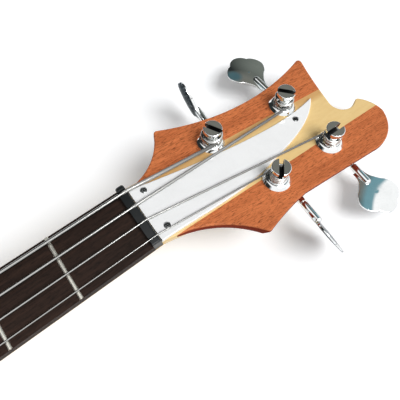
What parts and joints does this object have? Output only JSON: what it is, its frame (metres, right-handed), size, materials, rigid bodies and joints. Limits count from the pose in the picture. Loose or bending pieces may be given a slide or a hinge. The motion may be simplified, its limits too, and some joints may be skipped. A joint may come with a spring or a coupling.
{
  "type": "electric bass guitar",
  "caption": "Electric bass with a tilted two-tone headstock, worm-driven tuners that turn slotted posts, sliding bridge saddles and turning control knobs.",
  "frame": {"origin": "on the flat back of the body, on the centre line, under the saddle line", "axes": "+X along the neck to the headstock, +Y to the side of the thickest string, +Z out of the front"},
  "size_m": [1.1563, 0.3185, 0.0673],
  "materials": {
    "maple": "clear gloss lacquer",
    "red_wood": "clear gloss lacquer",
    "dark_wood": "oiled",
    "fret_metal": "polished",
    "pearl": "pearly",
    "black_plastic": "satin",
    "white_plastic": "gloss",
    "chrome": "mirror",
    "steel": "turned",
    "string_wire": "round wound",
    "coil_wire": "lacquered wire",
    "brass": "machined"
  },
  "bodies": {
    "instrument": {"neck_core": "maple", "headstock_wing_bass": "red_wood", "headstock_wing_treble": "red_wood", "body_wing_bass": "red_wood", "body_wing_treble": "red_wood", "fretboard": "dark_wood", "frets": "fret_metal", "position_dots": "pearl", "nut": "black_plastic", "truss_rod": "steel", "truss_rod_cover": "white_plastic", "cover_screws": "chrome", "tuner_plates": "chrome", "tuner_ferrules": "chrome", "tuner_screws": "chrome", "bridge_plate": "chrome", "bridge_screws": "chrome", "intonation_screws": "steel", "pickup_covers": "black_plastic", "pickup_poles": "steel", "pickup_coils": "coil_wire", "pickup_screws": "chrome", "potentiometers": "steel", "control_cover": "black_plastic", "jack_socket": "steel", "jack_nut": "chrome", "strap_buttons": "chrome", "string_e": "string_wire", "string_a": "string_wire", "string_d": "string_wire", "string_g": "string_wire"},
    "key_e": {"key_e": "chrome", "worm_e": "steel"},
    "post_e": {"post_e": "chrome", "wheel_e": "brass", "winding_e": "string_wire"},
    "saddle_e": {"saddle_e": "chrome"},
    "key_a": {"key_a": "chrome", "worm_a": "steel"},
    "post_a": {"post_a": "chrome", "wheel_a": "brass", "winding_a": "string_wire"},
    "saddle_a": {"saddle_a": "chrome"},
    "key_d": {"key_d": "chrome", "worm_d": "steel"},
    "post_d": {"post_d": "chrome", "wheel_d": "brass", "winding_d": "string_wire"},
    "saddle_d": {"saddle_d": "chrome"},
    "key_g": {"key_g": "chrome", "worm_g": "steel"},
    "post_g": {"post_g": "chrome", "wheel_g": "brass", "winding_g": "string_wire"},
    "saddle_g": {"saddle_g": "chrome"},
    "volume_neck": {"volume_knob_neck": "black_plastic"},
    "volume_bridge": {"volume_knob_bridge": "black_plastic"},
    "tone": {"tone_knob": "black_plastic"},
    "rod_nut": {"truss_rod_nut": "steel"}
  },
  "joints": [
    {"name": "key_e_turn", "type": "hinge", "parent": "instrument", "child": "key_e", "pos_m": [0.93914, 0.01978, 0.02859], "axis": [0.0767, 0.9969, -0.0164], "continuous": true},
    {"name": "post_e_turn", "type": "hinge", "parent": "instrument", "child": "post_e", "pos_m": [0.93081, 0.0207, 0.04536], "axis": [0.2096, 0, 0.9778], "continuous": true},
    {"name": "key_a_turn", "type": "hinge", "parent": "instrument", "child": "key_a", "pos_m": [0.99527, 0.02022, 0.01655], "axis": [-0.0682, 0.9976, 0.0146], "continuous": true},
    {"name": "post_a_turn", "type": "hinge", "parent": "instrument", "child": "post_a", "pos_m": [0.98693, 0.0194, 0.03333], "axis": [0.2096, 0, 0.9778], "continuous": true},
    {"name": "key_d_turn", "type": "hinge", "parent": "instrument", "child": "key_d", "pos_m": [1.00293, -0.02, 0.01491], "axis": [0, -1, 0], "continuous": true},
    {"name": "post_d_turn", "type": "hinge", "parent": "instrument", "child": "post_d", "pos_m": [0.99456, -0.02, 0.03169], "axis": [0.2096, 0, 0.9778], "continuous": true},
    {"name": "key_g_turn", "type": "hinge", "parent": "instrument", "child": "key_g", "pos_m": [0.95746, -0.0236, 0.02466], "axis": [0, -1, 0], "continuous": true},
    {"name": "post_g_turn", "type": "hinge", "parent": "instrument", "child": "post_g", "pos_m": [0.94909, -0.0236, 0.04144], "axis": [0.2096, 0, 0.9778], "continuous": true},
    {"name": "saddle_e_slide", "type": "slide", "parent": "instrument", "child": "saddle_e", "axis": [1, 0, 0], "range_m": [-0.005, 0.005]},
    {"name": "saddle_a_slide", "type": "slide", "parent": "instrument", "child": "saddle_a", "axis": [1, 0, 0], "range_m": [-0.005, 0.005]},
    {"name": "saddle_d_slide", "type": "slide", "parent": "instrument", "child": "saddle_d", "axis": [1, 0, 0], "range_m": [-0.005, 0.005]},
    {"name": "saddle_g_slide", "type": "slide", "parent": "instrument", "child": "saddle_g", "axis": [1, 0, 0], "range_m": [-0.005, 0.005]},
    {"name": "volume_neck_turn", "type": "hinge", "parent": "instrument", "child": "volume_neck", "pos_m": [0.07392, -0.0928, 0.045], "axis": [0, 0, 1], "range_deg": [-150, 150]},
    {"name": "volume_bridge_turn", "type": "hinge", "parent": "instrument", "child": "volume_bridge", "pos_m": [0.03579, -0.09413, 0.045], "axis": [0, 0, 1], "range_deg": [-150, 150]},
    {"name": "tone_turn", "type": "hinge", "parent": "instrument", "child": "tone", "pos_m": [-0.00235, -0.09547, 0.045], "axis": [0, 0, 1], "range_deg": [-150, 150]},
    {"name": "rod_nut_turn", "type": "hinge", "parent": "instrument", "child": "rod_nut", "pos_m": [0.8735, 0, 0.048], "axis": [1, 0, 0], "range_deg": [-180, 180]}
  ],
  "couplings": [
    {"joint": "post_e_turn", "follows": "key_e_turn", "ratio": -0.05},
    {"joint": "post_a_turn", "follows": "key_a_turn", "ratio": -0.05},
    {"joint": "post_d_turn", "follows": "key_d_turn", "ratio": -0.05},
    {"joint": "post_g_turn", "follows": "key_g_turn", "ratio": -0.05}
  ]
}
